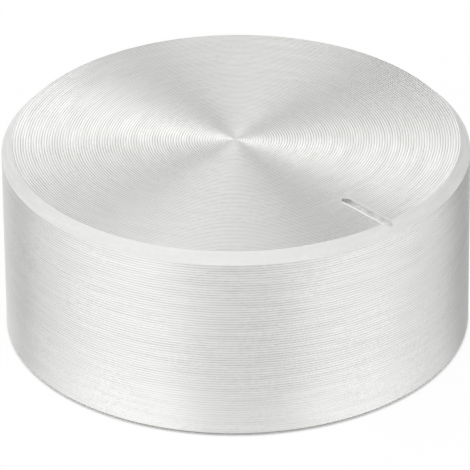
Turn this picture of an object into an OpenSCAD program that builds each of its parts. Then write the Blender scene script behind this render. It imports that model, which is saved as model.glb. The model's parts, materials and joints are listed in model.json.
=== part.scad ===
// Solid turned aluminium rotary knob with a milled pointer groove and a radial set screw.
// Millimetres. The origin is the centre of the underside, +Z runs up the shaft's axis,
// the pointer is on the -Y side and the set screw on the +Y side.

/* [Body] */
// Diameter of the turned wall
knob_d = 46; // [36:0.5:60]
// Height from the underside to the face
knob_h = 20; // [16:0.5:30]
// Width and height of the chamfer round the face
rim_chamfer = 1; // [0.4:0.1:2]
// Width and height of the chamfer round the bottom edge
base_chamfer = 0.4; // [0.1:0.05:1]

/* [Pointer groove] */
// Length of the groove on the face, from its round end to the rim
pointer_l = 6.2; // [3:0.1:12]
// Width of the cutter that milled the groove
pointer_w = 0.8; // [0.4:0.1:2]
// Depth of the groove below the face
pointer_depth = 0.4; // [0.2:0.05:0.8]

/* [Shaft bore] */
// Diameter of the shaft that the knob goes on
shaft_d = 6; // [4:0.05:8]
// Clearance all round the shaft
shaft_clearance = 0.05; // [0.05:0.01:0.2]
// Chamfer that leads the shaft into the bore
bore_lead = 0.5; // [0.2:0.1:1]
// Metal between the end of the straight bore and the face, with the drill's point in it
roof_t = 4.5; // [3.5:0.1:6]
// Angle of the drill's point
drill_angle = 118; // [90:1:140]

/* [Nut recess] */
// Diameter of the recess that clears the nut on the panel
recess_d = 16; // [12:0.5:24]
// Depth of the recess
recess_depth = 3; // [2:0.1:5]
// Broken edge round the mouth of the recess
recess_chamfer = 0.3; // [0.1:0.05:0.8]

/* [Set screw] */
// Thread size of the set screw
screw_d = 4; // [3, 4, 5]
// Length of the set screw
screw_l = 12; // [6:1:14]
// Height of the screw's axis above the underside
screw_z = 9; // [8:0.5:11]
// Clearance all round the screw in its tapped hole
screw_clearance = 0.05; // [0.03:0.01:0.1]
// How far the backed-out tip stands clear of the bore
tip_gap = 0.15; // [0.1:0.05:0.5]
// Depth of the hexagon socket
socket_depth = 2.5; // [1.5:0.1:3]
// Chamfer on both ends of the screw
screw_chamfer = 0.4; // [0.2:0.05:0.6]
// Width of the ring left round the cup at the tip
cup_land = 0.4; // [0.2:0.05:0.6]
// Depth of the countersink where the tapped hole meets the wall
countersink = 0.4; // [0.2:0.05:1]

/* [Hidden] */

$fn = 128;
hex_sides = 6;
// Cuts run this far past the faces that they open
past = 1;

knob_r = knob_d / 2;
face_r = knob_r - rim_chamfer;
bore_r = shaft_d / 2 + shaft_clearance;
recess_r = recess_d / 2;
bore_end_z = knob_h - roof_t;
drill_point_h = bore_r / tan(drill_angle / 2);

pointer_end_r = face_r - pointer_l;
pointer_r = pointer_w / 2;

tapped_r = screw_d / 2;
screw_r = tapped_r - screw_clearance;
tip_r = screw_r - screw_chamfer;
screw_start = bore_r + tip_gap;
// A set screw's hexagon is half its thread size across the flats
socket_af = screw_d / 2;
socket_r = socket_af / 2 / cos(180 / hex_sides);
// The tip has a 90 degree cup, so its depth is its radius
cup_r = tip_r - cup_land;

// Puts a piece made along +Z on the set screw's axis, which leaves the bore along +Y
module on_screw_axis() {
    translate([0, 0, screw_z]) rotate([-90, 0, 0]) children();
}

// The turned section: bore and drill point, recess, underside, wall, rim and face
module turned_blank() {
    rotate_extrude() polygon([
        [0, bore_end_z + drill_point_h],
        [bore_r, bore_end_z],
        [bore_r, recess_depth + bore_lead],
        [bore_r + bore_lead, recess_depth],
        [recess_r, recess_depth],
        [recess_r, recess_chamfer],
        [recess_r + recess_chamfer, 0],
        [knob_r - base_chamfer, 0],
        [knob_r, base_chamfer],
        [knob_r, knob_h - rim_chamfer],
        [face_r, knob_h],
        [0, knob_h],
    ]);
}

// The pointer groove, from its round end out through the rim's chamfer
module pointer_groove() {
    round_end_at = pointer_end_r + pointer_r;
    run_l = knob_r + past - round_end_at;
    translate([0, -round_end_at, knob_h - pointer_depth]) {
        cylinder(r = pointer_r, h = pointer_depth + past);
        translate([-pointer_r, -run_l, 0])
            cube([pointer_w, run_l, pointer_depth + past]);
    }
}

// The tapped hole from the bore's axis out through the wall, with its countersink
module tapped_hole() {
    on_screw_axis() {
        cylinder(r = tapped_r, h = knob_r + past);
        translate([0, 0, knob_r - countersink])
            cylinder(r1 = tapped_r, r2 = tapped_r + countersink + past, h = countersink + past);
    }
}

module knob_body() {
    color([0.87, 0.87, 0.86]) difference() {
        turned_blank();
        pointer_groove();
        tapped_hole();
    }
}

// A headless screw, cup point towards the bore and hexagon socket outwards
module set_screw() {
    color([0.2, 0.2, 0.21]) on_screw_axis() translate([0, 0, screw_start]) difference() {
        rotate_extrude() polygon([
            [0, cup_r],
            [cup_r, 0],
            [tip_r, 0],
            [screw_r, screw_chamfer],
            [screw_r, screw_l - screw_chamfer],
            [tip_r, screw_l],
            [0, screw_l],
        ]);
        translate([0, 0, screw_l - socket_depth])
            cylinder(r = socket_r, h = socket_depth + past, $fn = hex_sides);
    }
}

knob_body();
set_screw();
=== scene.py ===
import json
import math

import bmesh
import bpy
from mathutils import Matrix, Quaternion, Vector


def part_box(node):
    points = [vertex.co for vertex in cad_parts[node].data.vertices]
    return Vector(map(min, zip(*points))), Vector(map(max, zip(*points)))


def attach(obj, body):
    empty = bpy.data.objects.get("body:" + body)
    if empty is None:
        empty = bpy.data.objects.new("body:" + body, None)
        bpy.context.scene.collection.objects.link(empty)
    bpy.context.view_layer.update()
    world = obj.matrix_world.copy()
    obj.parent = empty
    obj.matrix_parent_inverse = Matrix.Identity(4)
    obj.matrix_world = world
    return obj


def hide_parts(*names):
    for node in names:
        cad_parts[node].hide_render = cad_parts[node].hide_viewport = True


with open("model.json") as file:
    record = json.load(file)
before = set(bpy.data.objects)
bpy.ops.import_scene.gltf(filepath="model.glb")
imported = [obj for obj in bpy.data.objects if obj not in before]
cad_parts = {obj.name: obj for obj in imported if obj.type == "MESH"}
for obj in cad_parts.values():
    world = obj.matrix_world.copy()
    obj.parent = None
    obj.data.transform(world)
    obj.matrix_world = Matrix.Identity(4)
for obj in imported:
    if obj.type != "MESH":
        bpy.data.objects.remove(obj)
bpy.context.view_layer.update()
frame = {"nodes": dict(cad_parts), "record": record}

mm = 0.001
scene = bpy.context.scene
scene.view_settings.view_transform = "Standard"

# sizes and places that the frame gives
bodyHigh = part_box("knob_body")[1]
screwLow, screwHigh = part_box("set_screw")
shaftBore = next(mount for mount in frame["record"]["mounts"] if mount["name"] == "shaft_bore")
knobRadius = bodyHigh.x
knobHeight = bodyHigh.z
boreRadius = shaftBore["dims"]["r_mm"] * mm
boreStart = shaftBore["pos_m"][2]
boreEnd = boreStart + shaftBore["dims"]["length_mm"] * mm
screwRadius = screwHigh.x
screwHeight = (screwLow.z + screwHigh.z) / 2
screwStart = screwLow.y
screwEnd = screwHigh.y

mergeGap = 0.0002 * mm
flatLean = 0.9      # the normal's share of Z on faces that count as flat
steepLean = 0.5     # and the most of it on faces that count as upright
print("frame loaded:", sorted(frame["nodes"]))


# operators act on the selection, so every piece starts from none
def clearSelection():
    if bpy.context.object and bpy.context.object.mode != "OBJECT":
        bpy.ops.object.mode_set(mode="OBJECT")
    bpy.ops.object.select_all(action="DESELECT")


def makeActive(obj):
    clearSelection()
    bpy.context.view_layer.objects.active = obj
    obj.select_set(True)


def nameIt(obj, name):
    obj.name = name
    obj.data.name = name
    return obj


def selectPoints(obj, wanted):
    bpy.ops.mesh.select_mode(type="VERT")
    mesh = bmesh.from_edit_mesh(obj.data)
    for vert in mesh.verts:
        vert.select = wanted(vert.co)
    mesh.select_flush_mode()
    bmesh.update_edit_mesh(obj.data)


def selectFaces(obj, wanted):
    bpy.ops.mesh.select_mode(type="FACE")
    mesh = bmesh.from_edit_mesh(obj.data)
    for face in mesh.faces:
        face.select_set(wanted(face))
    bmesh.update_edit_mesh(obj.data)


# leaves edit mode with every face pointing outwards
def finishMesh():
    bpy.ops.mesh.select_all(action="SELECT")
    bpy.ops.mesh.normals_make_consistent(inside=False)
    bpy.ops.object.mode_set(mode="OBJECT")


# a section drawn in the XZ plane, corner by corner
def drawSection(name, corners):
    clearSelection()
    bpy.ops.mesh.primitive_plane_add(size=mm)
    obj = nameIt(bpy.context.object, name)
    bpy.ops.object.mode_set(mode="EDIT")
    bpy.ops.mesh.select_mode(type="VERT")
    bpy.ops.mesh.select_all(action="SELECT")
    bpy.ops.mesh.merge(type="CENTER")
    here = Vector((0, 0, 0))
    for number, (r, z) in enumerate(corners):
        there = Vector((r, 0, z))
        if number == 0:
            bpy.ops.transform.translate(value=there - here)
        else:
            bpy.ops.mesh.extrude_region_move(TRANSFORM_OT_translate={"value": there - here})
        here = there
    return obj


# spins the section into a solid of revolution about Z
def spinSection(obj, steps):
    bpy.ops.mesh.select_all(action="SELECT")
    bpy.ops.mesh.spin(steps=steps, angle=2 * math.pi, center=(0, 0, 0), axis=(0, 0, 1))
    bpy.ops.mesh.select_all(action="SELECT")
    bpy.ops.mesh.remove_doubles(threshold=mergeGap)
    finishMesh()


# cuts one piece with another and throws the cutter away
def cutWith(obj, cutter, operation="DIFFERENCE"):
    makeActive(obj)
    cut = obj.modifiers.new("cut", "BOOLEAN")
    cut.operation = operation
    cut.solver = "MANIFOLD"
    cut.object = cutter
    bpy.ops.object.modifier_apply(modifier=cut.name)
    bpy.data.objects.remove(cutter)


def smoothByAngle(obj, degrees):
    makeActive(obj)
    bpy.ops.object.shade_smooth_by_angle(angle=math.radians(degrees))


# lays a piece made along Z on the set screw's axis, which points along Y
def onScrewAxis(obj):
    makeActive(obj)
    obj.rotation_euler = (math.radians(-90), 0, 0)
    obj.location = (0, 0, screwHeight)
    bpy.ops.object.transform_apply(location=True, rotation=True, scale=True)


# turned knob body
knob = {
    "rimChamfer": 1 * mm,
    "baseChamfer": 0.4 * mm,
    "recessRadius": 8 * mm,
    "recessDepth": 3 * mm,
    "recessChamfer": 0.3 * mm,
    "boreLead": 0.5 * mm,
    "drillAngle": 118,
    "facePitch": 0.257 * mm,    # lathe feed a turn
    "wallPitch": 0.267 * mm,
    "basePitch": 0.25 * mm,
    "pipRadius": 0.3 * mm,      # dimple that the tool left at the centre of the face
    "pipDepth": 0.06 * mm,
    "faceRingDepth": 0.016 * mm,
    "wallRingDepth": 0.016 * mm,
    "baseRingDepth": 0.008 * mm,
    "grooveCuts": 2,            # points that sink between two crests
    "baseGrooveCuts": 1,
    "crestShare": 0.1,          # of a ring, at each of its ends, where no point sinks
    "markRing": 5,              # one ring of the wall is deeper, counted from the top
    "markDepth": 0.02 * mm,
    "steps": 144,               # round the axis
    "sharpAngle": 12,
}

# radii and heights that the turned surfaces run between
faceRadius = knobRadius - knob["rimChamfer"]
wallTop = knobHeight - knob["rimChamfer"]
wallFoot = knob["baseChamfer"]
baseRadius = knobRadius - knob["baseChamfer"]
mouthRadius = knob["recessRadius"] + knob["recessChamfer"]

# whole rings on each surface, and the step that they come to
faceRings = round((faceRadius - knob["pipRadius"]) / knob["facePitch"])
wallRings = round((wallTop - wallFoot) / knob["wallPitch"])
baseRings = round((baseRadius - mouthRadius) / knob["basePitch"])
faceStep = (faceRadius - knob["pipRadius"]) / faceRings
wallStep = (wallTop - wallFoot) / wallRings
baseStep = (baseRadius - mouthRadius) / baseRings


# cuts one line of the section into rings, and sinks the points between their crests
def turnRings(obj, ends, count, cuts, sink):
    start, finish = ends
    run = (finish - start).length
    along = (finish - start).normalized()
    crest = knob["crestShare"]
    selectPoints(obj, lambda co: any((co - end).length < mergeGap for end in ends))
    bpy.ops.mesh.subdivide(number_cuts=count - 1)
    bpy.ops.mesh.subdivide(number_cuts=cuts)

    def betweenCrests(co):
        place = (co - start).dot(along)
        onLine = (co - start - along * place).length < mergeGap and 0 < place < run
        return onLine and crest < place / run * count % 1 < 1 - crest

    selectPoints(obj, betweenCrests)
    bpy.ops.transform.translate(value=sink)


def makeKnob():
    drillPoint = boreRadius / math.tan(math.radians(knob["drillAngle"] / 2))
    obj = drawSection("knobBody", [
        (0, knobHeight - knob["pipDepth"]),
        (knob["pipRadius"], knobHeight),
        (faceRadius, knobHeight),
        (knobRadius, wallTop),
        (knobRadius, wallFoot),
        (baseRadius, 0),
        (mouthRadius, 0),
        (knob["recessRadius"], knob["recessChamfer"]),
        (knob["recessRadius"], knob["recessDepth"]),
        (boreRadius + knob["boreLead"], knob["recessDepth"]),
        (boreRadius, boreStart),
        (boreRadius, boreEnd),
        (0, boreEnd + drillPoint),
    ])
    face = Vector((knob["pipRadius"], 0, knobHeight)), Vector((faceRadius, 0, knobHeight))
    wall = Vector((knobRadius, 0, wallTop)), Vector((knobRadius, 0, wallFoot))
    base = Vector((baseRadius, 0, 0)), Vector((mouthRadius, 0, 0))
    turnRings(obj, face, faceRings, knob["grooveCuts"], (0, 0, -knob["faceRingDepth"]))
    turnRings(obj, wall, wallRings, knob["grooveCuts"], (-knob["wallRingDepth"], 0, 0))
    turnRings(obj, base, baseRings, knob["baseGrooveCuts"], (0, 0, knob["baseRingDepth"]))
    markTop = wallTop - wallStep * (knob["markRing"] - 1 + knob["crestShare"])
    markBottom = wallTop - wallStep * (knob["markRing"] - knob["crestShare"])
    selectPoints(obj, lambda co: markBottom < co.z < markTop and co.x > baseRadius)
    bpy.ops.transform.translate(value=(-knob["markDepth"], 0, 0))
    spinSection(obj, knob["steps"])
    print("knob body turned, with rings on face, wall and underside:", faceRings, wallRings, baseRings)
    return obj


# pointer groove, milled with a small cutter from its round end out through the rim
pointer = {
    "length": 6.2 * mm,
    "width": 0.8 * mm,
    "depth": 0.4 * mm,
    "edgeBreak": 0.09 * mm,
    "furrowDepth": 0.065 * mm,  # fine furrow beside the left edge
    "furrowSlopes": (35, 50),   # left and right, in degrees
    "furrowLand": 0.02 * mm,    # between the furrow and the broken edge
    "roundSegments": 12,
    "roundShare": 0.999,        # of half the width, so that the two rounds stay apart
    "past": 1 * mm,             # how far the cutters run past the rim and the face
    "sideLean": 0.2,            # the normal's least share of X on the groove's sides
    "furrowLean": 0.4,
}
halfGroove = pointer["width"] / 2 + pointer["edgeBreak"]   # with its broken edge


def makePointerCutter():
    innerEnd = faceRadius - pointer["length"] - pointer["edgeBreak"]
    outerEnd = knobRadius + pointer["past"]
    low = knobHeight - pointer["edgeBreak"]
    high = knobHeight + pointer["past"]
    clearSelection()
    bpy.ops.mesh.primitive_cube_add(size=1)
    obj = nameIt(bpy.context.object, "pointerCutter")
    obj.scale = (2 * halfGroove, outerEnd - innerEnd, high - low)
    obj.location = (0, -(innerEnd + outerEnd) / 2, (low + high) / 2)
    bpy.ops.object.transform_apply(location=True, rotation=True, scale=True)
    bpy.ops.object.mode_set(mode="EDIT")

    def atInnerCorner(vert):
        return abs(vert.co.y + innerEnd) < mergeGap and abs(abs(vert.co.x) - halfGroove) < mergeGap

    # round inner end, then the broken edge, then the straight walls below it
    bpy.ops.mesh.select_mode(type="EDGE")
    mesh = bmesh.from_edit_mesh(obj.data)
    for edge in mesh.edges:
        first, second = edge.verts
        upright = abs(first.co.x - second.co.x) < mergeGap
        edge.select_set(upright and atInnerCorner(first) and atInnerCorner(second))
    bmesh.update_edit_mesh(obj.data)
    bpy.ops.mesh.bevel(
        offset=halfGroove * pointer["roundShare"],
        segments=pointer["roundSegments"],
        affect="EDGES",
    )
    selectFaces(obj, lambda face: face.normal.z < -flatLean)
    bpy.ops.mesh.region_to_loop()
    bpy.ops.mesh.bevel(offset=pointer["edgeBreak"], segments=1, affect="EDGES")
    selectFaces(obj, lambda face: face.normal.z < -flatLean)
    down = pointer["depth"] - pointer["edgeBreak"]
    bpy.ops.mesh.extrude_region_move(TRANSFORM_OT_translate={"value": (0, 0, -down)})
    finishMesh()
    return obj


# furrow along the left side of the groove, from its round end to the rim
def makeFurrowCutter():
    depth = pointer["furrowDepth"]
    past = pointer["past"]
    left, right = (math.tan(math.radians(slope)) for slope in pointer["furrowSlopes"])
    bottom = -halfGroove - pointer["furrowLand"] - depth / right
    obj = drawSection("furrowCutter", [
        (bottom, knobHeight - depth),
        (bottom + past / right, knobHeight - depth + past),
        (bottom - past / left, knobHeight - depth + past),
    ])
    start = faceRadius - pointer["length"] + pointer["width"] / 2
    finish = knobRadius + past
    bpy.ops.mesh.select_all(action="SELECT")
    bpy.ops.mesh.edge_face_add()
    bpy.ops.transform.translate(value=(0, -start, 0))
    bpy.ops.mesh.extrude_region_move(TRANSFORM_OT_translate={"value": (0, start - finish, 0)})
    finishMesh()
    return obj


# set screw and the tapped hole that it runs in
setScrew = {
    "pitch": 0.7 * mm,
    "threadDepth": 0.4 * mm,
    "threadAngle": 60,
    "threadCrest": 1 / 8,       # share of the pitch
    "threadSteps": 36,          # a turn
    "clearance": 0.05 * mm,
    "chamfer": 0.4 * mm,
    "cupLand": 0.4 * mm,
    "socketAcross": 2 * mm,
    "socketDepth": 2.5 * mm,
    "socketLead": 0.12 * mm,
    "countersink": 0.4 * mm,
    "countersinkReach": 1.5,    # how far its cone starts inside the hole's radius, in thread depths
    "holeStart": 0.95,          # share of the bore's radius, where the hole breaks into the bore
    "steps": 72,
    "sharpAngle": 25,
}
holeRadius = screwRadius + setScrew["clearance"]


# a threaded rod, closed by a flat cut at each end
def makeThreadedRod(name, radius, low, high):
    pitch = setScrew["pitch"]
    crest = pitch * setScrew["threadCrest"]
    flank = setScrew["threadDepth"] * math.tan(math.radians(setScrew["threadAngle"] / 2))
    root = radius - setScrew["threadDepth"]
    start = pitch * (math.floor(low / pitch) - 1)
    turns = math.ceil((high - start) / pitch) + 1
    obj = drawSection(name, [
        (radius, start),
        (radius, start + crest),
        (root, start + crest + flank),
        (root, start + pitch - flank),
        (radius, start + pitch),
    ])
    bpy.ops.object.mode_set(mode="OBJECT")
    thread = obj.modifiers.new("thread", "SCREW")
    thread.axis = "Z"
    thread.screw_offset = pitch
    thread.iterations = turns
    thread.steps = setScrew["threadSteps"]
    thread.render_steps = setScrew["threadSteps"]
    bpy.ops.object.modifier_apply(modifier=thread.name)
    bpy.ops.object.mode_set(mode="EDIT")
    bpy.ops.mesh.select_all(action="SELECT")
    bpy.ops.mesh.remove_doubles(threshold=mergeGap)
    for height, side in ((low, 1), (high, -1)):
        bpy.ops.mesh.select_all(action="SELECT")
        bpy.ops.mesh.bisect(
            plane_co=(0, 0, height),
            plane_no=(0, 0, side),
            use_fill=True,
            clear_inner=True,
            threshold=mergeGap,
        )
    finishMesh()
    return obj


def makeHoleCutter():
    return makeThreadedRod("holeCutter", holeRadius, 0, knobRadius + pointer["past"])


def makeCountersink():
    inside = setScrew["threadDepth"] * setScrew["countersinkReach"]
    outside = setScrew["countersink"] + pointer["past"]
    clearSelection()
    bpy.ops.mesh.primitive_cone_add(
        vertices=setScrew["steps"],
        radius1=holeRadius - inside,
        radius2=holeRadius + outside,
        depth=inside + outside,
        location=(0, 0, knobRadius - setScrew["countersink"] + (outside - inside) / 2),
    )
    obj = nameIt(bpy.context.object, "countersinkCutter")
    bpy.ops.object.transform_apply(location=True, rotation=True, scale=True)
    return obj


def makeSetScrew():
    tip = screwRadius - setScrew["chamfer"]
    cup = tip - setScrew["cupLand"]
    spare = setScrew["clearance"]     # the blank stands proud of the thread's crests
    obj = drawSection("setScrew", [
        (0, screwStart + cup),
        (cup, screwStart),
        (tip, screwStart),
        (screwRadius + spare, screwStart + setScrew["chamfer"] + spare),
        (screwRadius + spare, screwEnd - setScrew["chamfer"] - spare),
        (tip, screwEnd),
        (0, screwEnd),
    ])
    spinSection(obj, setScrew["steps"])
    # hexagon socket with a small lead-in, then the thread
    socketRadius = setScrew["socketAcross"] / math.sqrt(3)
    clearSelection()
    bpy.ops.mesh.primitive_cylinder_add(
        vertices=6,
        radius=socketRadius,
        depth=2 * setScrew["socketDepth"],
        location=(0, 0, screwEnd),
    )
    cutWith(obj, nameIt(bpy.context.object, "socketCutter"))
    clearSelection()
    bpy.ops.mesh.primitive_cone_add(
        vertices=setScrew["steps"],
        radius1=socketRadius - setScrew["socketLead"],
        radius2=socketRadius + setScrew["socketLead"],
        depth=2 * setScrew["socketLead"],
        location=(0, 0, screwEnd),
    )
    cutWith(obj, nameIt(bpy.context.object, "leadCutter"))
    rodStart = screwStart - setScrew["pitch"]
    rodEnd = screwEnd + setScrew["pitch"]
    cutWith(obj, makeThreadedRod("threadCutter", screwRadius, rodStart, rodEnd), "INTERSECT")
    print("set screw made")
    return obj


# short ways to add the nodes that the finishes are made of
def newMaterial(name):
    mat = bpy.data.materials.new(name)
    mat.use_nodes = True
    return mat, mat.node_tree, mat.node_tree.nodes["Principled BSDF"]


def feed(tree, socket, value):
    if isinstance(value, bpy.types.NodeSocket):
        tree.links.new(value, socket)
    else:
        socket.default_value = value


def objectPlace(tree):
    return tree.nodes.new("ShaderNodeTexCoord").outputs["Object"]


def mathNode(tree, operation, first, second):
    node = tree.nodes.new("ShaderNodeMath")
    node.operation = operation
    feed(tree, node.inputs[0], first)
    feed(tree, node.inputs[1], second)
    return node.outputs["Value"]


def vectorNode(tree, operation, *values):
    node = tree.nodes.new("ShaderNodeVectorMath")
    node.operation = operation
    for socket, value in zip(node.inputs, values):
        feed(tree, socket, value)
    return node.outputs


def rangeNode(tree, value, fromRange, toRange):
    node = tree.nodes.new("ShaderNodeMapRange")
    node.interpolation_type = "SMOOTHSTEP"
    feed(tree, node.inputs["Value"], value)
    node.inputs["From Min"].default_value, node.inputs["From Max"].default_value = fromRange
    node.inputs["To Min"].default_value, node.inputs["To Max"].default_value = toRange
    return node.outputs["Result"]


def noiseNode(tree, place, scale, detail):
    node = tree.nodes.new("ShaderNodeTexNoise")
    feed(tree, node.inputs["Vector"], place)
    node.inputs["Scale"].default_value = scale
    node.inputs["Detail"].default_value = detail
    return node.outputs["Fac"]


# inputs 6 and 7 and output 2 are the Mix node's colour sockets
def mixColour(tree, level, low, high):
    node = tree.nodes.new("ShaderNodeMix")
    node.data_type = "RGBA"
    feed(tree, node.inputs[0], level)
    node.inputs[6].default_value = low
    node.inputs[7].default_value = high
    return node.outputs[2]


# bare aluminium, as each tool left it; the rings' crest and groove colours, the bottom edge and the groove's
# blind end carry painted highlight and shade
aluminium = {
    # crest and groove colours: the ends of the painted ring shading, a painted highlight on each crest and
    # painted shade in each groove
    "crest": (1, 1, 0.985, 1),
    "groove": (0.5, 0.5, 0.487, 1),
    "turnedFace": {
        "roughness": 0.4,
        "anisotropy": 0.9,
        "edgeTint": 0.28,       # shine left at grazing views
        "level": 0.93,          # from the groove's colour to the crest's
        "contrast": 1.3,
        "fade": (0, 4 * mm),    # the painted ring shading is fainter at the centre
        "faint": 0.3,
    },
    "turnedWall": {
        "roughness": 0.55,
        "anisotropy": 0.95,
        "edgeTint": 0.68,
        "level": 0.97,
        "contrast": 0.9,
        "fade": (1 * mm, 8 * mm),   # and near the foot of the wall
        "faint": 0.2,
    },
    "turnedBase": {
        "roughness": 0.4,
        "anisotropy": 0.9,
        "edgeTint": 1,
        "level": 0.71,
        "contrast": 0.64,
        "fade": (0, 4 * mm),
        "faint": 1,
    },
    "satinRim": {"light": (0.86, 0.86, 0.85, 1), "dark": (0.77, 0.77, 0.76, 1), "roughness": 0.78},
    # bottom edge: colours darker than the rim's, painted shade of the dark gap under the knob, which it also
    # really reflects
    "shadedBottomEdge": {"light": (0.72, 0.72, 0.71, 1), "dark": (0.62, 0.62, 0.61, 1), "roughness": 0.3},
    "burnishedFurrow": {"light": (1, 1, 0.99, 1), "dark": (0.95, 0.95, 0.94, 1), "roughness": 0.33},
    "milled": {"light": (0.88, 0.88, 0.87, 1), "dark": (0.6, 0.6, 0.59, 1), "roughness": 0.4},
    "blindEndShade": 0.9 * mm,        # painted shade at the groove's blind end, over this length
    "shineTurn": 0.25,          # a quarter turn lays the shine across the rings
    "ringRamp": (0.1, 0.4),     # shares of the ring step, from painted highlight on the crest to painted shade in the groove
    "ringSwing": (0.5, -0.5),
    "weakRing": 0.6,            # share of the contrast where the painted ring shading is weakest
    "streakFine": 4000,         # across the rings, per metre
    "streakLong": 5,            # round the axis, per radian
    "wearScale": 0.6,           # of the streaks
    "noiseSpan": (0.3, 0.7),    # where most of a noise lies
    "speckScale": 2200,
    "speckSpan": (0.35, 0.65),
    "speckSwing": (-0.1, 0.1),
    "patchScale": 180,          # the specks come in patches
    "patchSpan": (0.4, 0.65),
    "ringWear": 0.03,           # swing of the roughness
    "lineWear": 0.05,
    "lineDark": 0.3,            # how far lines and specks go down towards the dark colour
    "speckDark": 0.75,
    "milledDark": 0.5,
}


# place on the knob, place across the rings, and a vector that is drawn out round the axis
def turnedPlace(tree, acrossHeight):
    place = objectPlace(tree)
    flatten = tree.nodes.new("ShaderNodeMapping")
    flatten.inputs["Scale"].default_value = (1, 1, 0)
    tree.links.new(place, flatten.inputs["Vector"])
    flat = flatten.outputs["Vector"]
    split = tree.nodes.new("ShaderNodeSeparateXYZ")
    tree.links.new(place, split.inputs["Vector"])
    across = split.outputs["Z"] if acrossHeight else vectorNode(tree, "LENGTH", flat)["Value"]
    around = vectorNode(tree, "NORMALIZE", flat)["Vector"]
    lines = tree.nodes.new("ShaderNodeCombineXYZ")
    tree.links.new(mathNode(tree, "MULTIPLY", across, aluminium["streakFine"]), lines.inputs["Z"])
    stretch = (aluminium["streakLong"],) * 3
    streak = vectorNode(tree, "MULTIPLY_ADD", around, stretch, lines.outputs["Vector"])
    return place, across, streak["Vector"]


# the rings spread light across themselves, so the shine is drawn out along the radius or the height; their
# light and shade are also painted into the colour
def turnedAluminium(name, ringStart, ringStep, acrossHeight=False):
    finish = aluminium[name]
    contrast = finish["contrast"]
    rough = finish["roughness"]
    wear = aluminium["ringWear"]
    span = aluminium["noiseSpan"]
    mat, tree, shader = newMaterial(name)
    place, across, streak = turnedPlace(tree, acrossHeight)
    # painted highlight on the crests and painted shade in the grooves, weaker in some stretches
    fromCrest = mathNode(tree, "PINGPONG", mathNode(tree, "SUBTRACT", across, ringStart), ringStep / 2)
    ramp = [share * ringStep for share in aluminium["ringRamp"]]
    paintedRingShade = rangeNode(tree, fromCrest, ramp, aluminium["ringSwing"])
    stretches = noiseNode(tree, streak, scale=1, detail=3)
    strength = rangeNode(tree, stretches, span, (aluminium["weakRing"] * contrast, contrast))
    fade = rangeNode(tree, across, finish["fade"], (finish["faint"], 1))
    strength = mathNode(tree, "MULTIPLY", strength, fade)
    # fine specks in patches
    patches = noiseNode(tree, place, aluminium["patchScale"], detail=2)
    patches = rangeNode(tree, patches, aluminium["patchSpan"], (0, 1))
    specks = noiseNode(tree, place, aluminium["speckScale"], detail=3)
    specks = rangeNode(tree, specks, aluminium["speckSpan"], aluminium["speckSwing"])
    marks = mathNode(tree, "ADD", mathNode(tree, "MULTIPLY", specks, patches), finish["level"])
    level = mathNode(tree, "ADD", mathNode(tree, "MULTIPLY", paintedRingShade, strength), marks)
    colour = mixColour(tree, level, aluminium["groove"], aluminium["crest"])
    tree.links.new(colour, shader.inputs["Base Color"])
    worn = noiseNode(tree, streak, aluminium["wearScale"], detail=2)
    worn = rangeNode(tree, worn, span, (rough - wear, rough + wear))
    tree.links.new(worn, shader.inputs["Roughness"])
    shader.inputs["Metallic"].default_value = 1
    shader.inputs["Specular Tint"].default_value = (finish["edgeTint"],) * 3 + (1,)
    shader.inputs["Anisotropic"].default_value = finish["anisotropy"]
    shader.inputs["Anisotropic Rotation"].default_value = aluminium["shineTurn"]
    tangent = tree.nodes.new("ShaderNodeTangent")
    tangent.direction_type = "RADIAL"
    tangent.axis = "Z"
    tree.links.new(tangent.outputs["Tangent"], shader.inputs["Tangent"])
    return mat


# chamfers and bores: one smooth pass of the tool, with faint lines round the axis
def smoothAluminium(name):
    finish = aluminium[name]
    rough = finish["roughness"]
    wear = aluminium["lineWear"]
    span = aluminium["noiseSpan"]
    mat, tree, shader = newMaterial(name)
    place, _, streak = turnedPlace(tree, True)
    lines = noiseNode(tree, streak, scale=1, detail=4)
    specks = noiseNode(tree, place, aluminium["speckScale"], detail=2)
    specks = rangeNode(tree, specks, span, (aluminium["speckDark"], 1))
    level = rangeNode(tree, lines, span, (aluminium["lineDark"], 1))
    level = mathNode(tree, "MULTIPLY", level, specks)
    colour = mixColour(tree, level, finish["dark"], finish["light"])
    tree.links.new(colour, shader.inputs["Base Color"])
    worn = rangeNode(tree, lines, span, (rough - wear, rough + wear))
    tree.links.new(worn, shader.inputs["Roughness"])
    shader.inputs["Metallic"].default_value = 1
    return mat


def milledAluminium(name, blindEnd=None):
    finish = aluminium["milled"]
    mat, tree, shader = newMaterial(name)
    place = objectPlace(tree)
    specks = noiseNode(tree, place, aluminium["speckScale"], detail=3)
    level = rangeNode(tree, specks, aluminium["speckSpan"], (aluminium["milledDark"], 1))
    if blindEnd is not None:
        # painted shade, darkest at the blind end of the groove
        split = tree.nodes.new("ShaderNodeSeparateXYZ")
        tree.links.new(place, split.inputs["Vector"])
        clear = rangeNode(tree, split.outputs["Y"], (blindEnd - aluminium["blindEndShade"], blindEnd), (1, 0))
        level = mathNode(tree, "MULTIPLY", level, clear)
    colour = mixColour(tree, level, finish["dark"], finish["light"])
    tree.links.new(colour, shader.inputs["Base Color"])
    shader.inputs["Metallic"].default_value = 1
    shader.inputs["Roughness"].default_value = finish["roughness"]
    return mat


# black oxide on the set screw, worn paler in specks
oxide = {
    "dark": (0.035, 0.035, 0.04, 1),
    "worn": (0.11, 0.11, 0.115, 1),
    "wornSpan": (0.4, 0.75),
    "roughness": 0.42,
    "roughSpan": (0.3, 0.7),
    "roughSwing": 0.08,
    "grainScale": 3000,
}


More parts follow.
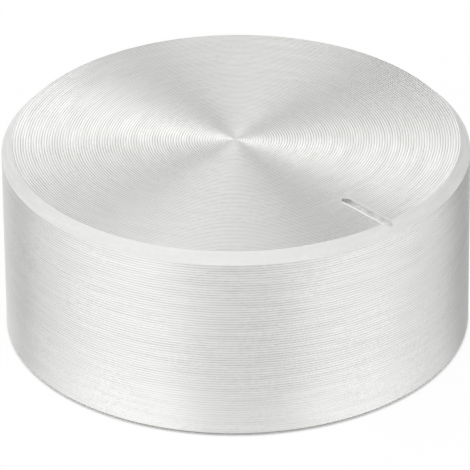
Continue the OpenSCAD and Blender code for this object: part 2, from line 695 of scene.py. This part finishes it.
def blackOxide():
    rough = oxide["roughness"]
    swing = oxide["roughSwing"]
    mat, tree, shader = newMaterial("blackOxide")
    grain = noiseNode(tree, objectPlace(tree), oxide["grainScale"], detail=4)
    level = rangeNode(tree, grain, oxide["wornSpan"], (0, 1))
    colour = mixColour(tree, level, oxide["dark"], oxide["worn"])
    tree.links.new(colour, shader.inputs["Base Color"])
    polish = rangeNode(tree, grain, oxide["roughSpan"], (rough + swing, rough - swing))
    tree.links.new(polish, shader.inputs["Roughness"])
    shader.inputs["Metallic"].default_value = 1
    return mat


faceFinish = turnedAluminium("turnedFace", knob["pipRadius"], faceStep)
wallFinish = turnedAluminium("turnedWall", wallTop, wallStep, acrossHeight=True)
baseFinish = turnedAluminium("turnedBase", mouthRadius, baseStep)
rimFinish = smoothAluminium("satinRim")
# the bottom edge's darker colour is painted shade
shadedEdgeFinish = smoothAluminium("shadedBottomEdge")
furrowFinish = smoothAluminium("burnishedFurrow")
# the pointer groove carries painted shade at its blind end
grooveFinish = milledAluminium("milledGroove", pointer["length"] - faceRadius)
holeFinish = milledAluminium("tappedHole")
oxideFinish = blackOxide()
print("finishes made")


# where each finish goes on the knob body
def onFace(face):
    return face.normal.z > flatLean and face.calc_center_median().z > wallTop


def onWall(face):
    fromAxis = face.calc_center_median().xy.length
    return abs(face.normal.z) < steepLean and fromAxis > baseRadius + knob["baseChamfer"] / 2 + mergeGap


def onBase(face):
    return face.normal.z < -flatLean and face.calc_center_median().z < knob["recessChamfer"] / 2


def onBottomEdge(face):
    centre = face.calc_center_median()
    sloping = -flatLean < face.normal.z < -steepLean
    return sloping and centre.xy.length > baseRadius and centre.z < wallFoot


def inGroove(face):
    centre = face.calc_center_median()
    sunk = knobHeight - centre.z
    inside = -centre.y > faceRadius - pointer["length"] - 2 * pointer["edgeBreak"]
    beside = abs(centre.x) < halfGroove
    below = 2 * knob["faceRingDepth"] < sunk < pointer["depth"] + mergeGap
    floorOrSide = face.normal.z > flatLean or abs(face.normal.x) > pointer["sideLean"]
    atBlindEnd = -centre.y < faceRadius - pointer["length"] / 2
    return inside and beside and below and (floorOrSide or atBlindEnd)


def inFurrow(face):
    centre = face.calc_center_median()
    inside = -centre.y > faceRadius - pointer["length"] and centre.z > wallTop
    beside = halfGroove < -centre.x < 2 * halfGroove
    sloping = face.normal.z < flatLean and abs(face.normal.x) > pointer["furrowLean"]
    return inside and beside and sloping


def inHole(face):
    centre = face.calc_center_median()
    fromAxis = math.hypot(centre.x, centre.z - screwHeight)
    within = centre.y > boreRadius * setScrew["holeStart"] and fromAxis < holeRadius + setScrew["countersink"]
    return within and not onWall(face)


def giveFinish(obj, mat, wanted):
    obj.data.materials.append(mat)
    makeActive(obj)
    bpy.ops.object.mode_set(mode="EDIT")
    selectFaces(obj, wanted)
    obj.active_material_index = len(obj.data.materials) - 1
    bpy.ops.object.material_slot_assign()
    bpy.ops.object.mode_set(mode="OBJECT")


knobBody = makeKnob()
for cutter in (makeFurrowCutter(), makePointerCutter()):
    cutWith(knobBody, cutter)
for cutter in (makeHoleCutter(), makeCountersink()):
    onScrewAxis(cutter)
    cutWith(knobBody, cutter)
print("pointer groove and tapped hole cut")

# the rim's finish goes on all over, and the others over it
knobBody.data.materials.clear()
giveFinish(knobBody, rimFinish, lambda face: True)
giveFinish(knobBody, faceFinish, onFace)
giveFinish(knobBody, wallFinish, onWall)
giveFinish(knobBody, baseFinish, onBase)
giveFinish(knobBody, shadedEdgeFinish, onBottomEdge)
giveFinish(knobBody, furrowFinish, inFurrow)
giveFinish(knobBody, grooveFinish, inGroove)
giveFinish(knobBody, holeFinish, inHole)
smoothByAngle(knobBody, knob["sharpAngle"])
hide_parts("knob_body")
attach(knobBody, "root")

screw = makeSetScrew()
onScrewAxis(screw)
screw.data.materials.clear()
screw.data.materials.append(oxideFinish)
smoothByAngle(screw, setScrew["sharpAngle"])
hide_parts("set_screw")
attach(screw, "root")
for piece in (knobBody, screw):
    print(piece.name, "triangles:", sum(len(polygon.vertices) - 2 for polygon in piece.data.polygons))


# camera, from the photograph's view of the rim, the face and the bottom edge
camera = {
    "azimuth": -40.9,
    "elevation": 29.66,
    "roll": -0.558,
    "distance": 25,             # in knob radii
    "focalPixels": 5816,
    "imagePixels": 470,
    "sensor": 36,               # millimetres
    "offsetPixels": (1.6, -6.9),
    "clip": (0.01, 20),         # metres
}


def placeCamera():
    azimuth = math.radians(camera["azimuth"])
    elevation = math.radians(camera["elevation"])
    back = Vector((
        math.sin(azimuth) * math.cos(elevation),
        -math.cos(azimuth) * math.cos(elevation),
        math.sin(elevation),
    ))
    data = bpy.data.cameras.new("camera")
    obj = bpy.data.objects.new("camera", data)
    scene.collection.objects.link(obj)
    data.sensor_width = camera["sensor"]
    data.lens = camera["focalPixels"] / camera["imagePixels"] * camera["sensor"]
    data.shift_x = -camera["offsetPixels"][0] / camera["imagePixels"]
    data.shift_y = camera["offsetPixels"][1] / camera["imagePixels"]
    data.clip_start, data.clip_end = camera["clip"]
    obj.location = Vector((0, 0, knobHeight / 2)) + back * camera["distance"] * knobRadius
    obj.rotation_mode = "QUATERNION"
    aim = (-back).to_track_quat("-Z", "Y")
    obj.rotation_quaternion = aim @ Quaternion((0, 0, 1), math.radians(camera["roll"]))
    scene.camera = obj


placeCamera()
print("camera placed")


# studio: white floor, graded room and soft panels, with azimuths from straight behind the knob to the right
studio = {
    "floorSize": 20,
    "floorColour": (0.95, 0.95, 0.95, 1),
    "floorGlow": 0.92,          # share of the floor that stays white in the knob's shadow
    "gapShade": (-0.2 * mm, 0.15 * mm),     # where the glow starts, from the knob's radius
    "roomFront": 0.7,
    "roomRear": 0.01,
    "roomTurn": (-0.39, 0.4),   # where the room goes from rear to front
    "panelDistance": 1,
    # azimuth, elevation, width and height in degrees, then radiance
    "panels": {
        "rightPanel": (105, 24, 88, 48, 0.84),
        "leftPanel": (249, 26, 84, 50, 0.82),
        "backStrip": (-11, 19, 20, 36, 0.92),
        "leftBackPanel": (332, 26, 52, 50, 0.82),
        "rightBackPanel": (19, 36, 23, 22, 1.62),
        "overheadPanel": (241, 78, 62, 55, 1.0),
    },
}


def studioDirection(azimuth, elevation):
    turn = math.radians(camera["azimuth"] - azimuth)
    rise = math.radians(elevation)
    return Vector((-math.sin(turn) * math.cos(rise), math.cos(turn) * math.cos(rise), math.sin(rise)))


def makeFloor():
    clearSelection()
    bpy.ops.mesh.primitive_plane_add(size=studio["floorSize"])
    floor = nameIt(bpy.context.object, "floor")
    mat, tree, shader = newMaterial("whiteFloor")
    shader.inputs["Base Color"].default_value = studio["floorColour"]
    shader.inputs["Roughness"].default_value = 1
    shader.inputs["Specular IOR Level"].default_value = 0
    glow = tree.nodes.new("ShaderNodeEmission")
    glow.inputs["Strength"].default_value = 1
    rays = tree.nodes.new("ShaderNodeLightPath").outputs
    seen = mathNode(tree, "ADD", rays["Is Camera Ray"], rays["Is Glossy Ray"])
    seen = mathNode(tree, "MINIMUM", mathNode(tree, "ADD", seen, rays["Is Transmission Ray"]), 1)
    # no glow under the knob, so its bottom edge meets a dark gap
    fromAxis = vectorNode(tree, "LENGTH", objectPlace(tree))["Value"]
    gap = [knobRadius + shade for shade in studio["gapShade"]]
    clear = rangeNode(tree, fromAxis, gap, (0, studio["floorGlow"]))
    mix = tree.nodes.new("ShaderNodeMixShader")
    tree.links.new(mathNode(tree, "MULTIPLY", seen, clear), mix.inputs["Fac"])
    tree.links.new(shader.outputs["BSDF"], mix.inputs[1])
    tree.links.new(glow.outputs["Emission"], mix.inputs[2])
    tree.links.new(mix.outputs["Shader"], tree.nodes["Material Output"].inputs["Surface"])
    floor.data.materials.append(mat)


# the room is bright behind the camera and darker behind the knob
def makeWorld():
    world = bpy.data.worlds.new("studioRoom")
    scene.world = world
    world.use_nodes = True
    tree = world.node_tree
    direction = tree.nodes.new("ShaderNodeTexCoord").outputs["Generated"]
    towardsCamera = studioDirection(180, 0)
    facing = vectorNode(tree, "DOT_PRODUCT", direction, towardsCamera)["Value"]
    grade = rangeNode(tree, facing, studio["roomTurn"], (studio["roomRear"], studio["roomFront"]))
    room = tree.nodes["Background"]
    room.inputs["Color"].default_value = (1, 1, 1, 1)
    tree.links.new(grade, room.inputs["Strength"])


def makePanels():
    reach = studio["panelDistance"]
    for name, (azimuth, elevation, width, height, radiance) in studio["panels"].items():
        light = bpy.data.lights.new(name, "AREA")
        light.shape = "RECTANGLE"
        light.size = 2 * reach * math.tan(math.radians(width / 2))
        light.size_y = 2 * reach * math.tan(math.radians(height / 2))
        light.energy = radiance * math.pi * light.size * light.size_y
        obj = bpy.data.objects.new(name, light)
        scene.collection.objects.link(obj)
        towards = studioDirection(azimuth, elevation)
        obj.location = towards * reach
        obj.rotation_mode = "QUATERNION"
        obj.rotation_quaternion = towards.to_track_quat("Z", "Y")
        obj.visible_camera = False


makeFloor()
makeWorld()
makePanels()
print("studio set up with", len(studio["panels"]), "panels")
